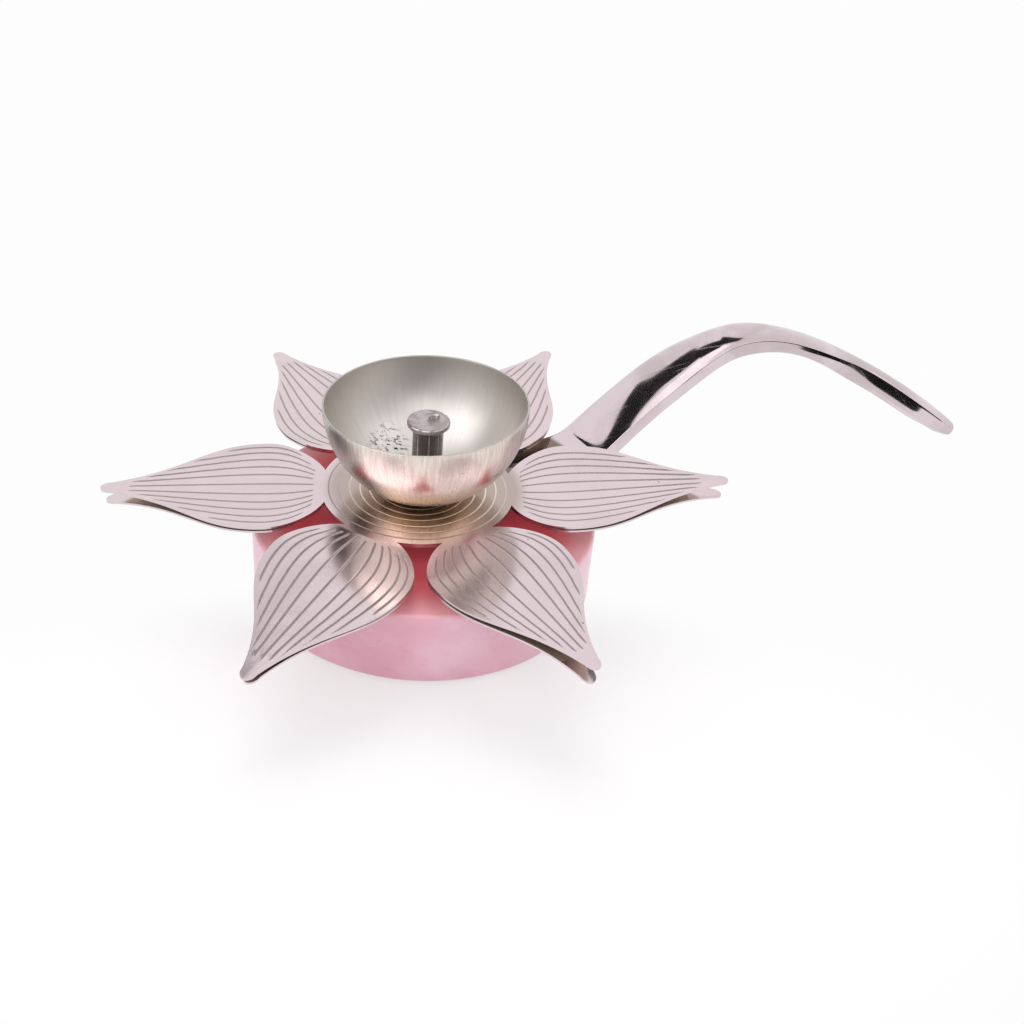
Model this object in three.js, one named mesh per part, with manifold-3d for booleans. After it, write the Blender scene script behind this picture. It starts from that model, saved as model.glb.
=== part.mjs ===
// Lotus oil lamp with a round rose-coloured block, two six-petal plates, an oil bowl and a curved handle.
// Millimetres, +Z up. The origin is the centre of the felt pad's underside, on the table.
// Petal 1 points along +X, and the handle leaves between petals 1 and 2.
import * as THREE from 'three';
import { mergeVertices } from 'three/addons/utils/BufferGeometryUtils.js';
import Module from 'manifold-3d';

const wasm = await Module();
wasm.setup();

const rad = THREE.MathUtils.degToRad;

// Round block and its felt pad
const blockTopRadius = 41.8;
const blockBottomRadius = 41.4;
const blockHeight = 19.1;
const blockEdgeRadius = 1.2;
const blockEdgeSteps = 4;
const padInset = 2.4;
const padThickness = 1.0;

// Clamping bolt and its washers
const boltRadius = 2.0;
const boltHeadRadius = 3.6;
const boltHeadHeight = 2.6;
const boltSocketRadius = 1.7;
const boltSocketDepth = 1.6;
const threadEngagement = 8.0;
const counterboreRadius = 6.0;
const counterboreDepth = 8.0;
const flatWasherRadius = 5.2;
const flatWasherThickness = 0.8;
const springWasherRadius = 3.7;
const springWasherThickness = 1.0;
const springWasherSlit = 0.8;
const boltClearance = 0.3;

// Petal plates; their hand-punched holes sit off the flowers' centres, so the outlines are shifted
const plateShift = [-1.9, 0.5];
const plateThickness = 0.5;
const discRadius = 23.4;
const petalNeckHalfWidth = 6.7;
const petalBellyRadius = 36.5;
const petalBellyHalfWidth = 17.8;
const petalTipStart = 73.0;
const petalTipHalfWidth = 1.9;
const petalTipRadius = 75.7;
// Pulls of the outline's curve, outwards or inwards and sideways, at the neck, the belly and the tip
const petalNeckPull = [2.6, 6.3];
const petalBellyPulls = [5.0, 15.4];
const petalTipPull = [18.7, 5.3];
const petalTipAngles = [30, 60, 84];
// Height that the belly's sides stand above its middle
const petalCup = 0.5;
const petalRows = 7;
const petalColumns = 4;
// Each hand-cut petal: the height its tip gains, the gap its lower tip springs open, its share of the width
// and the degrees it is turned from its even place round the flower
const petals = [
  { rise: 4.2, spread: 3.4, width: 1.0, turn: 0 },
  { rise: 1.5, spread: 0.5, width: 0.93, turn: 0.8 },
  { rise: -1.0, spread: 0.6, width: 0.97, turn: -0.6 },
  { rise: -1.7, spread: 2.6, width: 1.02, turn: 0 },
  { rise: -5.3, spread: 1.1, width: 1.0, turn: 0 },
  { rise: -1.2, spread: 4.0, width: 0.98, turn: -0.4 },
];
// The lower plate's petals are cut this much shorter
const lowerPetalTrim = 1.2;
const spreadPower = 2.5;
// Distance past the neck over which a petal takes its own width, its cup and its gap to the other plate
const petalBendLength = 8.8;

// Oil bowl
const bowlRadius = 24.4;
const bowlWall = 0.5;
const bowlFootRadius = 5.0;
const bowlRimHeight = 23.7;
const bowlLean = 2.7;
const bowlLeanHeading = 134.0;
const bowlSteps = 10;

// Wick holder and the washer that seals its foot
const sealThickness = 0.6;
const sealRadius = 4.6;
const wickHolderRadius = 3.65;
const wickFlangeRadius = 5.1;
const wickFlangeThickness = 1.5;
const wickFlangeBelowRim = 4.2;
const wickHoleRadius = 1.1;
const wickHoleDepth = 9.0;
const wickHoleOffset = [1.3, 1.5];
const wickFlangeEdge = 0.3;

// Handle: a round eye under the plates, a flat tang on the block, and a bar that rises, crests and falls
const eyeRadius = 15.0;
const eyeThickness = 5.6;
const tangThickness = 4.4;
const tangWidth = 15.6;
const tangLength = 46.0;
const handleAngle = 31.7;
const handleBend = 26.0;
const handleCrestDistance = 93.9;
const handleCrestHeight = 20.4;
const handleRiseStart = 1.5;
const handleRiseEnd = 17.0;
const handleFallStart = 21.8;
const handleFallEnd = 14.0;
const handleEndSlope = 42.5;
const handleReach = 166.3;
const handleEndHeight = -17.9;
const handleCrown = 1.1;
const handleCrownLength = 24.0;
const handleSections = [
  { at: 0.0, width: 15.6, depth: 4.3 },
  { at: 0.2, width: 15.5, depth: 3.9 },
  { at: 0.38, width: 11.3, depth: 4.2 },
  { at: 0.56, width: 9.1, depth: 3.2 },
  { at: 0.74, width: 5.0, depth: 5.0 },
  { at: 0.88, width: 5.8, depth: 5.1 },
  { at: 0.96, width: 4.8, depth: 3.9 },
  { at: 1.0, width: 3.2, depth: 2.0 },
];
// The bar's section from its front bottom corner round the back: shares of the half width across,
// of the depth inwards, of the depth down and of the crown up
const handleOutline = [
  [1, 0, 0.85, 0],
  [1, 0.15, 1, 0],
  [-1, -0.25, 1, 0],
  [-1, 0, 0.75, 0],
  [-1, 0, 0.2, 0],
  [-1, -0.12, 0, 0],
  [-0.55, 0, 0, 0.7],
  [0, 0, 0, 1],
  [0.55, 0, 0, 0.7],
  [1, 0, 0, 0],
];
const handleSteps = 18;
const barRootOverlap = 1.0;

// Screws that stop the tang from turning
const tangScrewPlaces = [20.0, 33.0];
const tangScrewRadius = 1.5;
const tangScrewHeadRadius = 2.8;
const tangScrewHeadHeight = 1.3;
const tangScrewLength = 13.0;
const tangScrewPointLength = 2.2;
const tangScrewPointRadius = 0.5;

const clearance = 0.3;
const roundSegments = 48;
const smallSegments = 24;
const holeSegments = 16;
const hexSegments = 6;

// Heights of the stack, from the table up
const blockBottom = padThickness;
const blockTop = blockBottom + blockHeight;
const eyeTop = blockTop + eyeThickness;
const tangTop = blockTop + tangThickness;
const lowerPlateTop = eyeTop + plateThickness;
const discTop = lowerPlateTop + plateThickness;
const bowlFloor = discTop + bowlWall;
const bowlRim = discTop + bowlRimHeight;
const wickHolderBottom = bowlFloor + sealThickness;
const wickFlangeTop = bowlRim - wickFlangeBelowRim;
const counterboreTop = blockBottom + counterboreDepth;
const flatWasherBottom = counterboreTop - flatWasherThickness;
const boltHeadTop = flatWasherBottom - springWasherThickness;
const boltHeadBottom = boltHeadTop - boltHeadHeight;
const boltTop = wickHolderBottom + threadEngagement;
const boltHoleRadius = boltRadius + boltClearance;

// The petals' necks meet the disc's edge, and their sheets bend just outside it
const petalNeckRadius = Math.sqrt(discRadius ** 2 - petalNeckHalfWidth ** 2);
const petalRootRadius = petalNeckRadius - petalNeckHalfWidth / 2;
const petalBendStart = discRadius + clearance;

const finishes = {
  rose: { color: 0xd98aa6, roughness: 0.3, metalness: 0.0 },
  felt: { color: 0x3a2a2e, roughness: 0.95, metalness: 0.0 },
  steel: { color: 0x9a9a9c, roughness: 0.35, metalness: 1.0 },
  petalSilver: { color: 0xd8c9ce, roughness: 0.22, metalness: 1.0 },
  bowlSilver: { color: 0xbdb2a8, roughness: 0.32, metalness: 1.0 },
  handleSilver: { color: 0xd6cacd, roughness: 0.12, metalness: 1.0 },
  wickSilver: { color: 0xa89ca0, roughness: 0.3, metalness: 1.0 },
  rubber: { color: 0x2c2623, roughness: 0.8, metalness: 0.0 },
};

function toManifold(geometry) {
  const bare = geometry.index ? geometry.toNonIndexed() : geometry.clone();
  bare.deleteAttribute('normal');
  bare.deleteAttribute('uv');
  const merged = mergeVertices(bare, 1e-4);
  return new wasm.Manifold(new wasm.Mesh({
    numProp: 3,
    vertProperties: merged.attributes.position.array,
    triVerts: new Uint32Array(merged.index.array),
  }));
}

function toGeometry(solid) {
  const mesh = solid.getMesh();
  const geometry = new THREE.BufferGeometry();
  geometry.setAttribute('position', new THREE.BufferAttribute(new Float32Array(mesh.vertProperties), 3));
  geometry.setIndex(new THREE.BufferAttribute(new Uint32Array(mesh.triVerts), 1));
  geometry.computeVertexNormals();
  return geometry;
}

// A solid turned about +Z from [radius, height] points that start and end on the axis or close on themselves
function turned(points, segments) {
  const profile = points.map(([radius, height]) => new THREE.Vector2(radius, height));
  return new THREE.LatheGeometry(profile, segments).rotateX(Math.PI / 2);
}

function rod(radius, bottom, top, segments = smallSegments) {
  return turned([[0, bottom], [radius, bottom], [radius, top], [0, top]], segments);
}

function ring(inner, outer, bottom, top, segments = smallSegments) {
  return turned([[inner, bottom], [outer, bottom], [outer, top], [inner, top], [inner, bottom]], segments);
}

// Points on an arc about [centreRadius, centreHeight], angles in degrees
function arcPoints(centreRadius, centreHeight, arcRadius, from, to, steps) {
  const points = [];
  for (let i = 0; i <= steps; i += 1) {
    const angle = rad(from + ((to - from) * i) / steps);
    points.push([centreRadius + arcRadius * Math.cos(angle), centreHeight + arcRadius * Math.sin(angle)]);
  }
  return points;
}

// A closed skin over rings of points that all have the same count, with a flat fan at each end
function lofted(rings) {
  const count = rings[0].length;
  const positions = rings.flat().flatMap((point) => [point.x, point.y, point.z]);
  const triangles = [];
  for (let i = 0; i < rings.length - 1; i += 1) {
    for (let j = 0; j < count; j += 1) {
      const a = i * count + j;
      const b = i * count + ((j + 1) % count);
      triangles.push(a, b, b + count, a, b + count, a + count);
    }
  }
  const last = (rings.length - 1) * count;
  for (let j = 1; j < count - 1; j += 1) {
    triangles.push(0, j + 1, j, last, last + j, last + j + 1);
  }
  const geometry = new THREE.BufferGeometry();
  geometry.setAttribute('position', new THREE.Float32BufferAttribute(positions, 3));
  geometry.setIndex(triangles);
  return geometry;
}

function makeFeltPad() {
  return rod(blockBottomRadius - padInset, 0, padThickness, roundSegments);
}

function makeRoundBlock() {
  const edgeRadius = blockTopRadius - blockEdgeRadius;
  const body = turned([
    [0, blockBottom],
    [blockBottomRadius, blockBottom],
    ...arcPoints(edgeRadius, blockTop - blockEdgeRadius, blockEdgeRadius, 0, 90, blockEdgeSteps),
    [0, blockTop],
  ], roundSegments);
  let block = toManifold(body)
    .subtract(toManifold(rod(counterboreRadius, blockBottom - clearance, counterboreTop)))
    .subtract(toManifold(rod(boltHoleRadius, counterboreTop - clearance, blockTop + clearance)));
  for (const place of tangScrewPlaces) {
    const pilotBottom = tangTop - tangScrewLength - clearance;
    const pilot = rod(tangScrewRadius + clearance, pilotBottom, blockTop + clearance);
    block = block.subtract(toManifold(pilot.translate(...handleAxisPoint(place))));
  }
  return toGeometry(block);
}

function makeCentreBolt() {
  const head = toManifold(rod(boltHeadRadius, boltHeadBottom, boltHeadTop));
  const shank = toManifold(rod(boltRadius, boltHeadTop - clearance, boltTop));
  const socketTop = boltHeadBottom + boltSocketDepth;
  const socket = rod(boltSocketRadius, boltHeadBottom - clearance, socketTop, hexSegments);
  return toGeometry(head.add(shank).subtract(toManifold(socket)));
}

function makeFlatWasher() {
  return ring(boltHoleRadius, flatWasherRadius, flatWasherBottom, counterboreTop);
}

// The spring washer's ring is slit, so it is a tube section swept short of a full turn
function makeSpringWasher() {
  const slitAngle = springWasherSlit / springWasherRadius;
  const shape = new THREE.Shape();
  shape.absarc(0, 0, springWasherRadius, slitAngle, Math.PI * 2 - slitAngle, false);
  shape.absarc(0, 0, boltHoleRadius, Math.PI * 2 - slitAngle, slitAngle, true);
  const settings = { depth: springWasherThickness, bevelEnabled: false, curveSegments: smallSegments };
  return new THREE.ExtrudeGeometry(shape, settings).translate(0, 0, boltHeadTop);
}

// Half of a petal's outline from its neck to its tip, as [distance from the axis, half width]
function petalOutline() {
  const belly = new THREE.CubicBezierCurve(
    new THREE.Vector2(petalNeckRadius, petalNeckHalfWidth),
    new THREE.Vector2(petalNeckRadius + petalNeckPull[0], petalNeckHalfWidth + petalNeckPull[1]),
    new THREE.Vector2(petalBellyRadius - petalBellyPulls[0], petalBellyHalfWidth),
    new THREE.Vector2(petalBellyRadius, petalBellyHalfWidth),
  );
  const waist = new THREE.CubicBezierCurve(
    new THREE.Vector2(petalBellyRadius, petalBellyHalfWidth),
    new THREE.Vector2(petalBellyRadius + petalBellyPulls[1], petalBellyHalfWidth),
    new THREE.Vector2(petalTipStart - petalTipPull[0], petalTipHalfWidth + petalTipPull[1]),
    new THREE.Vector2(petalTipStart, petalTipHalfWidth),
  );
  const tipLength = petalTipRadius - petalTipStart;
  const tip = petalTipAngles.map((angle) => new THREE.Vector2(
    petalTipStart + tipLength * Math.sin(rad(angle)),
    petalTipHalfWidth * Math.cos(rad(angle)),
  ));
  return [...belly.getPoints(petalRows), ...waist.getPoints(petalRows + 1).slice(1), ...tip];
}

// The outline with a root inside the disc and a row where the sheet starts to bend
function petalStations() {
  const outline = petalOutline();
  const past = outline.findIndex((point) => point.x > petalBendStart);
  const before = outline[past - 1];
  const after = outline[past];
  const bend = before.clone().lerp(after, (petalBendStart - before.x) / (after.x - before.x));
  const root = new THREE.Vector2(petalRootRadius, petalNeckHalfWidth);
  return [root, ...outline.slice(0, past), bend, ...outline.slice(past)];
}

// One row across a petal's sheet: a lower and an upper line, bent up or down and cupped towards the sides
function petalRow(distance, halfWidth, bottom, shape) {
  const past = Math.max(0, distance - petalBendStart);
  const along = past / (petalTipRadius - petalBendStart);
  const growth = Math.min(1, past / petalBendLength);
  const width = halfWidth * THREE.MathUtils.lerp(1, shape.width, growth);
  const middle = bottom + shape.rise * along - shape.spread * along ** spreadPower - shape.gap * growth;
  const reach = distance - shape.trim * along;
  const lower = [];
  const upper = [];
  for (let j = 0; j <= petalColumns; j += 1) {
    const side = (2 * j) / petalColumns - 1;
    const cup = petalCup * growth * side * side * (halfWidth / petalBellyHalfWidth);
    lower.push(new THREE.Vector3(reach, side * width, middle + cup));
    upper.unshift(new THREE.Vector3(reach, side * width, middle + cup + plateThickness));
  }
  return [...lower, ...upper];
}

function makePetalPlate(bottom, shapes) {
  const top = bottom + plateThickness;
  let plate = toManifold(rod(discRadius, bottom, top, roundSegments));
  shapes.forEach((shape, i) => {
    const petal = lofted(petalStations().map((point) => petalRow(point.x, point.y, bottom, shape)));
    plate = plate.add(toManifold(petal.rotateZ((Math.PI * 2 * i) / shapes.length + rad(shape.turn))));
  });
  const hole = rod(boltHoleRadius, bottom - clearance, top + clearance);
  return toGeometry(plate.translate([...plateShift, 0]).subtract(toManifold(hole)));
}

// One side of the bowl's shell, from its foot up to the rim
function bowlSide(radius, footHeight) {
  const start = Math.asin(bowlFootRadius / radius);
  const depth = (bowlRim - footHeight) / Math.cos(start);
  return arcPoints(0, 0, 1, THREE.MathUtils.radToDeg(start) - 90, 0, bowlSteps)
    .map(([across, up]) => [across * radius, bowlRim + up * depth]);
}

// The bowl is a thin hemisphere with a small flat foot, closed on itself around the bolt hole
function makeOilBowl() {
  const profile = [
    [boltHoleRadius, discTop],
    ...bowlSide(bowlRadius, discTop),
    ...bowlSide(bowlRadius - bowlWall, bowlFloor).reverse(),
    [boltHoleRadius, bowlFloor],
    [boltHoleRadius, discTop],
  ];
  return leaned(turned(profile, roundSegments));
}

// The spun shell leans a little above its flat foot, full lean from where the side starts
function leaned(shell) {
  const position = shell.attributes.position;
  const heading = rad(bowlLeanHeading);
  const axis = new THREE.Vector3(-Math.sin(heading), Math.cos(heading), 0);
  const point = new THREE.Vector3();
  for (let i = 0; i < position.count; i += 1) {
    point.fromBufferAttribute(position, i);
    const spread = Math.hypot(point.x, point.y) - bowlFootRadius;
    if (spread > clearance) {
      point.z -= bowlFloor;
      point.applyAxisAngle(axis, rad(bowlLean));
      point.z += bowlFloor;
      position.setXYZ(i, point.x, point.y, point.z);
    }
  }
  return shell;
}

function makeSealWasher() {
  return ring(boltHoleRadius, sealRadius, bowlFloor, wickHolderBottom);
}

function makeWickHolder() {
  const flangeBottom = wickFlangeTop - wickFlangeThickness;
  const body = toManifold(turned([
    [0, wickHolderBottom],
    [wickHolderRadius, wickHolderBottom],
    [wickHolderRadius, flangeBottom],
    [wickFlangeRadius, flangeBottom + wickFlangeEdge],
    [wickFlangeRadius, wickFlangeTop - wickFlangeEdge],
    [wickFlangeRadius - wickFlangeEdge, wickFlangeTop],
    [0, wickFlangeTop],
  ], smallSegments));
  const wickHole = rod(wickHoleRadius, wickFlangeTop - wickHoleDepth, wickFlangeTop + clearance, holeSegments)
    .translate(...wickHoleOffset, 0);
  const thread = rod(boltHoleRadius, wickHolderBottom - clearance, boltTop + clearance);
  return toGeometry(body.subtract(toManifold(wickHole)).subtract(toManifold(thread)));
}

function handleAxisPoint(distance) {
  return [distance * Math.cos(rad(handleAngle)), distance * Math.sin(rad(handleAngle)), 0];
}

// The top edge of the bar as { distance along the plan, height above the disc }, sampled evenly
function handleElevation(fraction) {
  const rootHeight = tangTop - discTop;
  const slope = rad(handleEndSlope);
  const rise = new THREE.CubicBezierCurve(
    new THREE.Vector2(tangLength, rootHeight),
    new THREE.Vector2(tangLength + handleRiseStart, rootHeight),
    new THREE.Vector2(handleCrestDistance - handleRiseEnd, handleCrestHeight),
    new THREE.Vector2(handleCrestDistance, handleCrestHeight),
  );
  const fall = new THREE.CubicBezierCurve(
    new THREE.Vector2(handleCrestDistance, handleCrestHeight),
    new THREE.Vector2(handleCrestDistance + handleFallStart, handleCrestHeight),
    new THREE.Vector2(handleReach - handleFallEnd * Math.cos(slope),
      handleEndHeight + handleFallEnd * Math.sin(slope)),
    new THREE.Vector2(handleReach, handleEndHeight),
  );
  const path = new THREE.CurvePath();
  path.add(rise);
  path.add(fall);
  return path.getPointAt(fraction);
}

// A place on the bar's top centre line, with the plan heading there
function handlePlace(fraction) {
  const { x: distance, y: height } = handleElevation(fraction);
  const turn = rad(handleBend) / (handleReach - tangLength);
  const start = rad(handleAngle);
  const heading = start - turn * (distance - tangLength);
  const [rootX, rootY] = handleAxisPoint(tangLength);
  return {
    heading,
    distance,
    point: new THREE.Vector3(
      rootX + (Math.sin(start) - Math.sin(heading)) / turn,
      rootY + (Math.cos(heading) - Math.cos(start)) / turn,
      discTop + height,
    ),
  };
}

function sectionSize(distance) {
  const along = (distance - tangLength) / (handleReach - tangLength);
  const next = handleSections.findIndex((section) => section.at > along);
  const last = handleSections.length - 1;
  const after = handleSections[next < 0 ? last : next];
  const before = handleSections[(next < 0 ? last : next) - 1];
  const mix = THREE.MathUtils.clamp((along - before.at) / (after.at - before.at), 0, 1);
  return {
    width: THREE.MathUtils.lerp(before.width, after.width, mix),
    depth: THREE.MathUtils.lerp(before.depth, after.depth, mix),
    crown: handleCrown * Math.min(1, (distance - tangLength) / handleCrownLength),
  };
}

// One section of the bar: a crowned top with a crisp front edge, a flat front side and a rounded back
function barSection(place, tangent, size) {
  const front = new THREE.Vector3(Math.sin(place.heading), -Math.cos(place.heading), 0);
  const up = new THREE.Vector3().crossVectors(front, tangent);
  up.normalize();
  if (up.z < 0) up.negate();
  const half = size.width / 2;
  return handleOutline.map(([across, inwards, down, crowned]) => place.point.clone()
    .addScaledVector(front, half * across - size.depth * inwards)
    .addScaledVector(up, size.crown * crowned - size.depth * down));
}

function barSolid() {
  const rings = [];
  const step = 1e-3;
  for (let i = 0; i <= handleSteps; i += 1) {
    const fraction = i / handleSteps;
    const place = handlePlace(fraction);
    const ahead = handlePlace(Math.min(1, fraction + step)).point;
    const behind = handlePlace(Math.max(0, fraction - step)).point;
    const tangent = ahead.sub(behind).normalize();
    rings.push(barSection(place, tangent, sectionSize(place.distance)));
  }
  const back = new THREE.Vector3(...handleAxisPoint(barRootOverlap)).negate();
  const root = rings[0].map((point) => point.clone().add(back));
  return lofted([root, ...rings]);
}

function makeHandle() {
  const eye = toManifold(rod(eyeRadius, blockTop, eyeTop, roundSegments));
  const tang = new THREE.BoxGeometry(tangLength, tangWidth, tangThickness)
    .translate(tangLength / 2, 0, blockTop + tangThickness / 2)
    .rotateZ(rad(handleAngle));
  let handle = eye.add(toManifold(tang)).add(toManifold(barSolid()));
  handle = handle.subtract(toManifold(rod(boltHoleRadius, blockTop - clearance, eyeTop + clearance)));
  for (const place of tangScrewPlaces) {
    handle = handle.subtract(toManifold(tangScrewShape(place, clearance)));
  }
  return toGeometry(handle);
}

// A countersunk screw, flush with the tang; the same shape with a margin cuts its hole
function tangScrewShape(place, margin) {
  const top = tangTop + margin;
  const neck = tangTop - tangScrewHeadHeight;
  const bottom = tangTop - tangScrewLength - margin;
  const screw = turned([
    [0, bottom],
    [tangScrewPointRadius + margin, bottom],
    [tangScrewRadius + margin, bottom + tangScrewPointLength],
    [tangScrewRadius + margin, neck - margin],
    [tangScrewHeadRadius + margin, tangTop - margin],
    [tangScrewHeadRadius + margin, top],
    [0, top],
  ], holeSegments);
  return screw.translate(...handleAxisPoint(place));
}

function named(name, geometry, finish) {
  const mesh = new THREE.Mesh(geometry, new THREE.MeshStandardMaterial(finishes[finish]));
  mesh.name = name;
  return mesh;
}

const lowerPetals = petals.map((petal) => ({ ...petal, gap: clearance, trim: lowerPetalTrim }));
const upperPetals = petals.map((petal) => ({ ...petal, gap: 0, spread: 0, trim: 0 }));

const base = new THREE.Group();
base.add(
  named('felt_pad', makeFeltPad(), 'felt'),
  named('round_block', makeRoundBlock(), 'rose'),
  named('centre_bolt', makeCentreBolt(), 'steel'),
  named('flat_washer', makeFlatWasher(), 'steel'),
  named('spring_washer', makeSpringWasher(), 'steel'),
  named('lower_petal_plate', makePetalPlate(eyeTop, lowerPetals), 'petalSilver'),
  named('upper_petal_plate', makePetalPlate(lowerPlateTop, upperPetals), 'petalSilver'),
  named('handle', makeHandle(), 'handleSilver'),
);
tangScrewPlaces.forEach((place, i) => {
  base.add(named(`tang_screw_${i + 1}`, tangScrewShape(place, 0), 'steel'));
});

const bowl = new THREE.Group();
bowl.add(
  named('oil_bowl', makeOilBowl(), 'bowlSilver'),
  named('seal_washer', makeSealWasher(), 'rubber'),
  named('wick_holder', makeWickHolder(), 'wickSilver'),
);

const lamp = new THREE.Group();
lamp.add(base, bowl);
export default lamp;
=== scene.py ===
import math
import bpy
import bmesh
from mathutils import Matrix, Vector, geometry, noise


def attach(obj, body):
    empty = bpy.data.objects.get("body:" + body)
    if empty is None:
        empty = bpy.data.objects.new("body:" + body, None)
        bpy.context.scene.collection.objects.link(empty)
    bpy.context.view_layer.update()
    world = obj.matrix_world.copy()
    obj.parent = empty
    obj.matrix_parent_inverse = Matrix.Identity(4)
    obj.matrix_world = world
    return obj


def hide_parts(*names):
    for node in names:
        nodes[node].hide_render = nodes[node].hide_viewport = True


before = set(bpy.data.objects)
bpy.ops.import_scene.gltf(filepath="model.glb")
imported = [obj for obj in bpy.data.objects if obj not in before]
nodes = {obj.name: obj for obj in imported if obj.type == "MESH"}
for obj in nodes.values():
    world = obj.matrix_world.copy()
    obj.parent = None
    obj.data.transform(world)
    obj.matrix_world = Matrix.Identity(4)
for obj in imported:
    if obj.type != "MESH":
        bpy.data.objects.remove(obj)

scene = bpy.context.scene
mm = 0.001
mergeDistance = 1e-6  # metres
tolerance = 0.01  # millimetres
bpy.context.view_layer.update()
print("frame loaded:", len(nodes), "nodes")


# Lengths in the pieces' dictionaries are millimetres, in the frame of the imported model
def place(x, y, z):
    return Vector((x, y, z)) * mm


def turning(degrees, axis):
    return Matrix.Rotation(math.radians(degrees), 3, axis)


def fade(value):
    value = max(0.0, min(1.0, value))
    return value * value * (3 - 2 * value)


def arcProfile(radius, height, size, start, stop, steps):
    angles = [math.radians(start + (stop - start) * i / steps) for i in range(steps + 1)]
    return [(radius + size * math.cos(a), height + size * math.sin(a)) for a in angles]


def spinProfile(profile, steps, closed=False):
    bm = bmesh.new()
    verts = [bm.verts.new(place(radius, 0, height)) for radius, height in profile]
    ends = verts[1:] + verts[:1] if closed else verts[1:]
    edges = [bm.edges.new(pair) for pair in zip(verts, ends)]
    bmesh.ops.spin(bm, geom=verts + edges, cent=(0, 0, 0), axis=(0, 0, 1), dvec=(0, 0, 0),
                   angle=math.tau, steps=steps, use_merge=True, use_duplicate=False)
    bmesh.ops.remove_doubles(bm, verts=bm.verts, dist=mergeDistance)
    return bm


def bevelEdges(bm, edges, width, segments):
    bmesh.ops.bevel(bm, geom=edges, offset=width * mm, offset_type="OFFSET", segments=segments,
                    profile=0.5, affect="EDGES", clamp_overlap=True, material=-1)


def bevelSharp(bm, width, segments):
    sharp = math.radians(60)
    edges = [e for e in bm.edges if e.is_manifold and e.calc_face_angle() > sharp]
    bevelEdges(bm, edges, width, segments)


def cornersOf(made):
    return [item for item in made["geom"] if isinstance(item, bmesh.types.BMVert)]


# Grows a row of faces from open edges, and gives its new corners and its new edges
def growRow(bm, edges):
    made = bmesh.ops.extrude_edge_only(bm, edges=edges)
    corners = cornersOf(made)
    fresh = set(corners)
    return corners, [item for item in made["geom"]
                     if isinstance(item, bmesh.types.BMEdge) and fresh.issuperset(item.verts)]


def reachOf(vert):
    return math.hypot(*vert.co.xy) / mm


# Edges at a height, or above it
def edgesAt(bm, height):
    least = (height - tolerance) * mm
    return [e for e in bm.edges if min(v.co.z for v in e.verts) > least]


def meshObject(bm, name, materials):
    mesh = bpy.data.meshes.new(name)
    bm.to_mesh(mesh)
    bm.free()
    for material in materials:
        mesh.materials.append(material)
    item = bpy.data.objects.new(name, mesh)
    scene.collection.objects.link(item)
    return item


def finishPiece(bm, name, body, materials, replaced=(), sharpAngle=38):
    bmesh.ops.remove_doubles(bm, verts=bm.verts, dist=mergeDistance)
    bmesh.ops.recalc_face_normals(bm, faces=bm.faces)
    piece = meshObject(bm, name, materials)
    piece.data.shade_smooth()
    piece.data.set_sharp_from_angle(angle=math.radians(sharpAngle))
    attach(piece, body)
    if replaced:
        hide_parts(*replaced)
    print("made", name, "with", len(piece.data.polygons), "faces")
    return piece


# Values and links alike go into a node's inputs
def feed(tree, item, values):
    for key, value in values.items():
        if isinstance(value, bpy.types.NodeSocket):
            tree.links.new(value, item.inputs[key])
        elif value is not None:
            item.inputs[key].default_value = value


def addNode(tree, kind, values=None, settings=None):
    item = tree.nodes.new(kind)
    for key, value in (settings or {}).items():
        setattr(item, key, value)
    feed(tree, item, values or {})
    return item


def mathNode(tree, operation, first, second=None):
    return addNode(tree, "ShaderNodeMath", {0: first, 1: second}, {"operation": operation}).outputs[0]


def timesNode(tree, first, second):
    return mathNode(tree, "MULTIPLY", first, second)


def plusNode(tree, first, second, share):
    return mathNode(tree, "ADD", first, timesNode(tree, second, share))


def rangeNode(tree, source, low, high, toLow, toHigh, smooth=False):
    values = {"Value": source, "From Min": low, "From Max": high, "To Min": toLow, "To Max": toHigh}
    kind = "SMOOTHSTEP" if smooth else "LINEAR"
    return addNode(tree, "ShaderNodeMapRange", values, {"interpolation_type": kind}).outputs["Result"]


# Zero at the first value and at its most from the second on, with a soft step
def stepNode(tree, source, values, most=1.0):
    return rangeNode(tree, source, *values, 0, most, True)


# The same for two lengths in millimetres
def reachNode(tree, source, reach, most=1.0):
    return stepNode(tree, source, [value * mm for value in reach], most)


def toned(colour, factor):
    return tuple(part * factor for part in colour)


def mixColours(tree, factor, first, second):
    first, second = ((*value, 1.0) if isinstance(value, tuple) else value for value in (first, second))
    return addNode(tree, "ShaderNodeMix", {0: factor, 6: first, 7: second}, {"data_type": "RGBA"}).outputs[2]


def noiseNode(tree, vector, scale, detail=3.0, rough=0.55, squash=(1, 1, 1), turn=(0, 0, 0)):
    mapping = addNode(tree, "ShaderNodeMapping", {"Vector": vector, "Scale": squash, "Rotation": turn})
    values = {"Vector": mapping.outputs[0], "Scale": scale, "Detail": detail, "Roughness": rough}
    return addNode(tree, "ShaderNodeTexNoise", values).outputs["Fac"]


def vectorNode(tree, operation, source, second=None):
    return addNode(tree, "ShaderNodeVectorMath", {0: source, 1: second}, {"operation": operation}).outputs


def axisNode(tree, where, axis):
    return addNode(tree, "ShaderNodeSeparateXYZ", {0: where}).outputs[axis]


def newMaterial(name, values):
    material = bpy.data.materials.new(name)
    material.use_nodes = True
    tree = material.node_tree
    shader = tree.nodes["Principled BSDF"]
    feed(tree, shader, values)
    return material, tree, shader, addNode(tree, "ShaderNodeTexCoord").outputs["Object"]


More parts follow.
